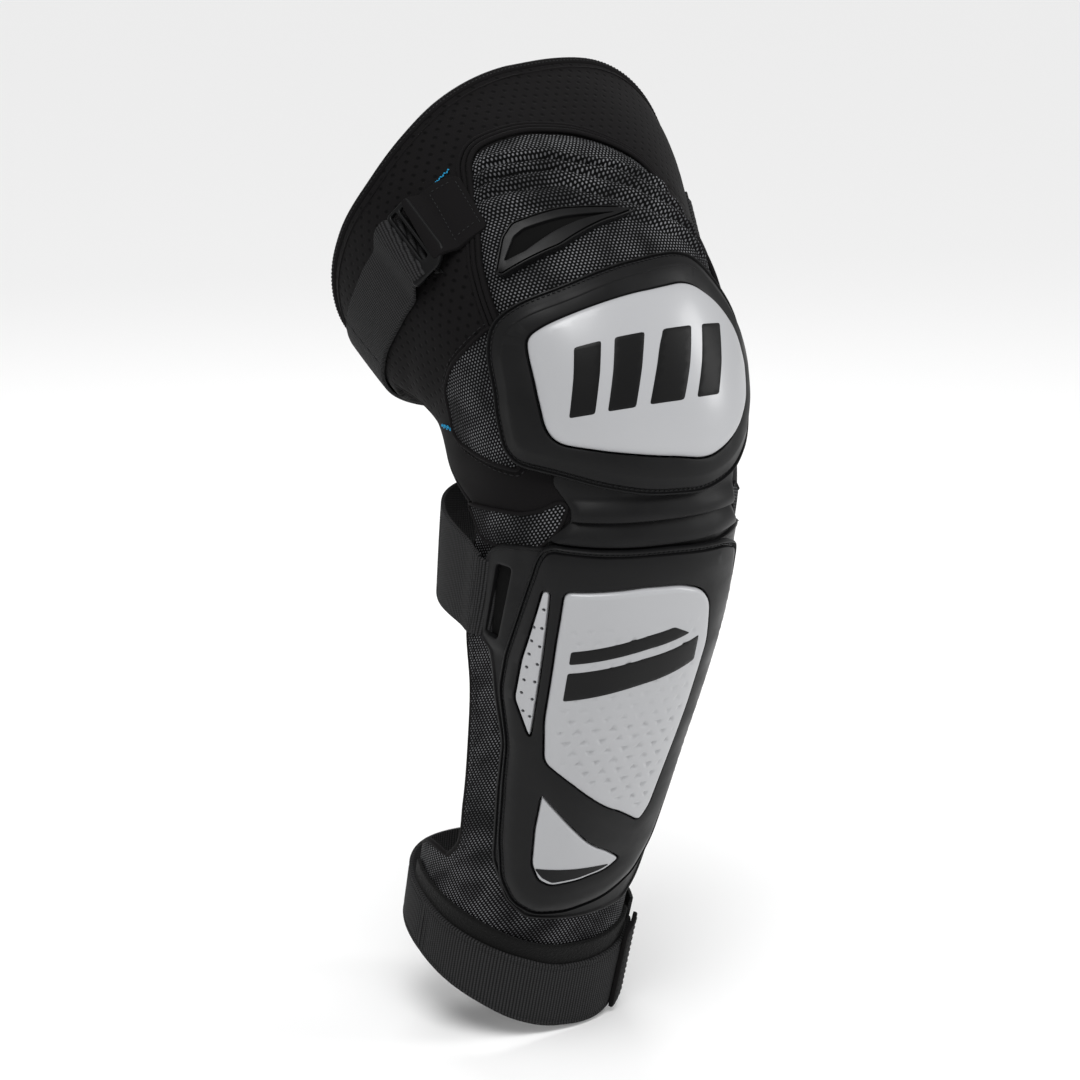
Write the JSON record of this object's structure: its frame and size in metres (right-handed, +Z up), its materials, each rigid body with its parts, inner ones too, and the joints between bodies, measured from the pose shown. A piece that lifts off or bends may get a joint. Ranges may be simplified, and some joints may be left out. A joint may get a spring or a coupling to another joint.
{
  "type": "knee and shin guard",
  "caption": "Articulated knee and shin guard: domed knee cup and shin plate on a padded sleeve with thigh cuff, gaiter, hooked upper strap, slotted calf strap and ankle strap",
  "frame": {"origin": "middle of the knee, where the hinge axis crosses the centre line of the leg", "axes": "+Z up and along the length, the guard faces -Y, the buckle side is -X and the knee hinge axis lies along X"},
  "size_m": [0.2112, 0.2353, 0.5432],
  "materials": {
    "white_shell": "gloss white injection-moulded plastic with dimples and bevelled edges",
    "black_plastic": "satin black moulded plastic",
    "moulded_rubber": "satin black moulded thermoplastic rubber",
    "neoprene": "black jersey-faced neoprene, perforated",
    "mesh_fabric": "black spacer mesh with grey flecks",
    "elastic": "ribbed black elastic webbing",
    "foam": "black fabric-faced impact foam"
  },
  "bodies": {
    "shin": {"shin_liner_outer": "mesh_fabric", "shin_liner_inner": "mesh_fabric", "shin_binding_outer": "neoprene", "shin_binding_inner": "neoprene", "shin_foam": "foam", "shin_carrier": "moulded_rubber", "shin_frame": "moulded_rubber", "shin_shell": "white_shell", "shin_side_insert": "white_shell", "shin_lower_insert": "white_shell", "lower_insert_strip": "black_plastic", "mid_strap": "elastic", "mid_strap_anchor": "elastic", "mid_strap_loop": "elastic", "ankle_loop_band": "neoprene", "ankle_strap": "elastic", "gaiter_lower_rib": "moulded_rubber"},
    "knee_cup": {"gaiter_upper_rib": "moulded_rubber", "knee_foam": "foam", "knee_frame": "moulded_rubber", "knee_shell": "white_shell", "knee_side_outer": "neoprene", "knee_side_inner": "neoprene", "knee_mesh_outer": "mesh_fabric", "knee_mesh_inner": "mesh_fabric", "brow_pad": "mesh_fabric", "brow_vent": "black_plastic", "brow_vent_core": "moulded_rubber"},
    "thigh": {"thigh_cuff_outer": "neoprene", "thigh_cuff_inner": "neoprene", "rim_binding_outer": "neoprene", "rim_binding_inner": "neoprene", "thigh_mesh_panel": "mesh_fabric", "thigh_foam": "foam", "upper_strap": "elastic", "upper_strap_anchor": "elastic", "hook_tab": "elastic"},
    "upper_strap_end": {"upper_strap_end": "elastic"},
    "hook": {"upper_strap_hook": "black_plastic"},
    "mid_strap_end": {"mid_strap_end": "elastic"},
    "ankle_strap_front": {"ankle_strap_front": "elastic", "ankle_tab": "neoprene"}
  },
  "joints": [
    {"name": "knee_lower", "type": "hinge", "parent": "shin", "child": "knee_cup", "pos_m": [0, 0, 0], "axis": [-1, 0, 0], "range_deg": [-9, 9], "stiffness_Nm_per_rad": 10},
    {"name": "knee_upper", "type": "hinge", "parent": "knee_cup", "child": "thigh", "pos_m": [0, 0, 0], "axis": [-1, 0, 0], "range_deg": [-9, 9], "stiffness_Nm_per_rad": 10},
    {"name": "upper_strap_open", "type": "hinge", "parent": "thigh", "child": "upper_strap_end", "pos_m": [-0.09776, 0.07557, 0.03457], "axis": [0.1348, -0.8437, -0.5197], "range_deg": [0, 70]},
    {"name": "hook_swivel", "type": "hinge", "parent": "upper_strap_end", "child": "hook", "pos_m": [-0.09697, 0.02429, 0.0838], "axis": [0.1432, -0.8016, -0.5805], "range_deg": [0, 50]},
    {"name": "mid_strap_open", "type": "hinge", "parent": "shin", "child": "mid_strap_end", "pos_m": [-0.06794, 0.03862, -0.09093], "axis": [0.0794, 0.2743, -0.9584], "range_deg": [0, 70]},
    {"name": "ankle_strap_open", "type": "hinge", "parent": "shin", "child": "ankle_strap_front", "pos_m": [-0.06068, 0.07221, -0.31554], "axis": [0.0129, 0.3104, -0.9505], "range_deg": [0, 75]}
  ],
  "couplings": [
    {"joint": "knee_upper", "follows": "knee_lower", "ratio": 1}
  ]
}
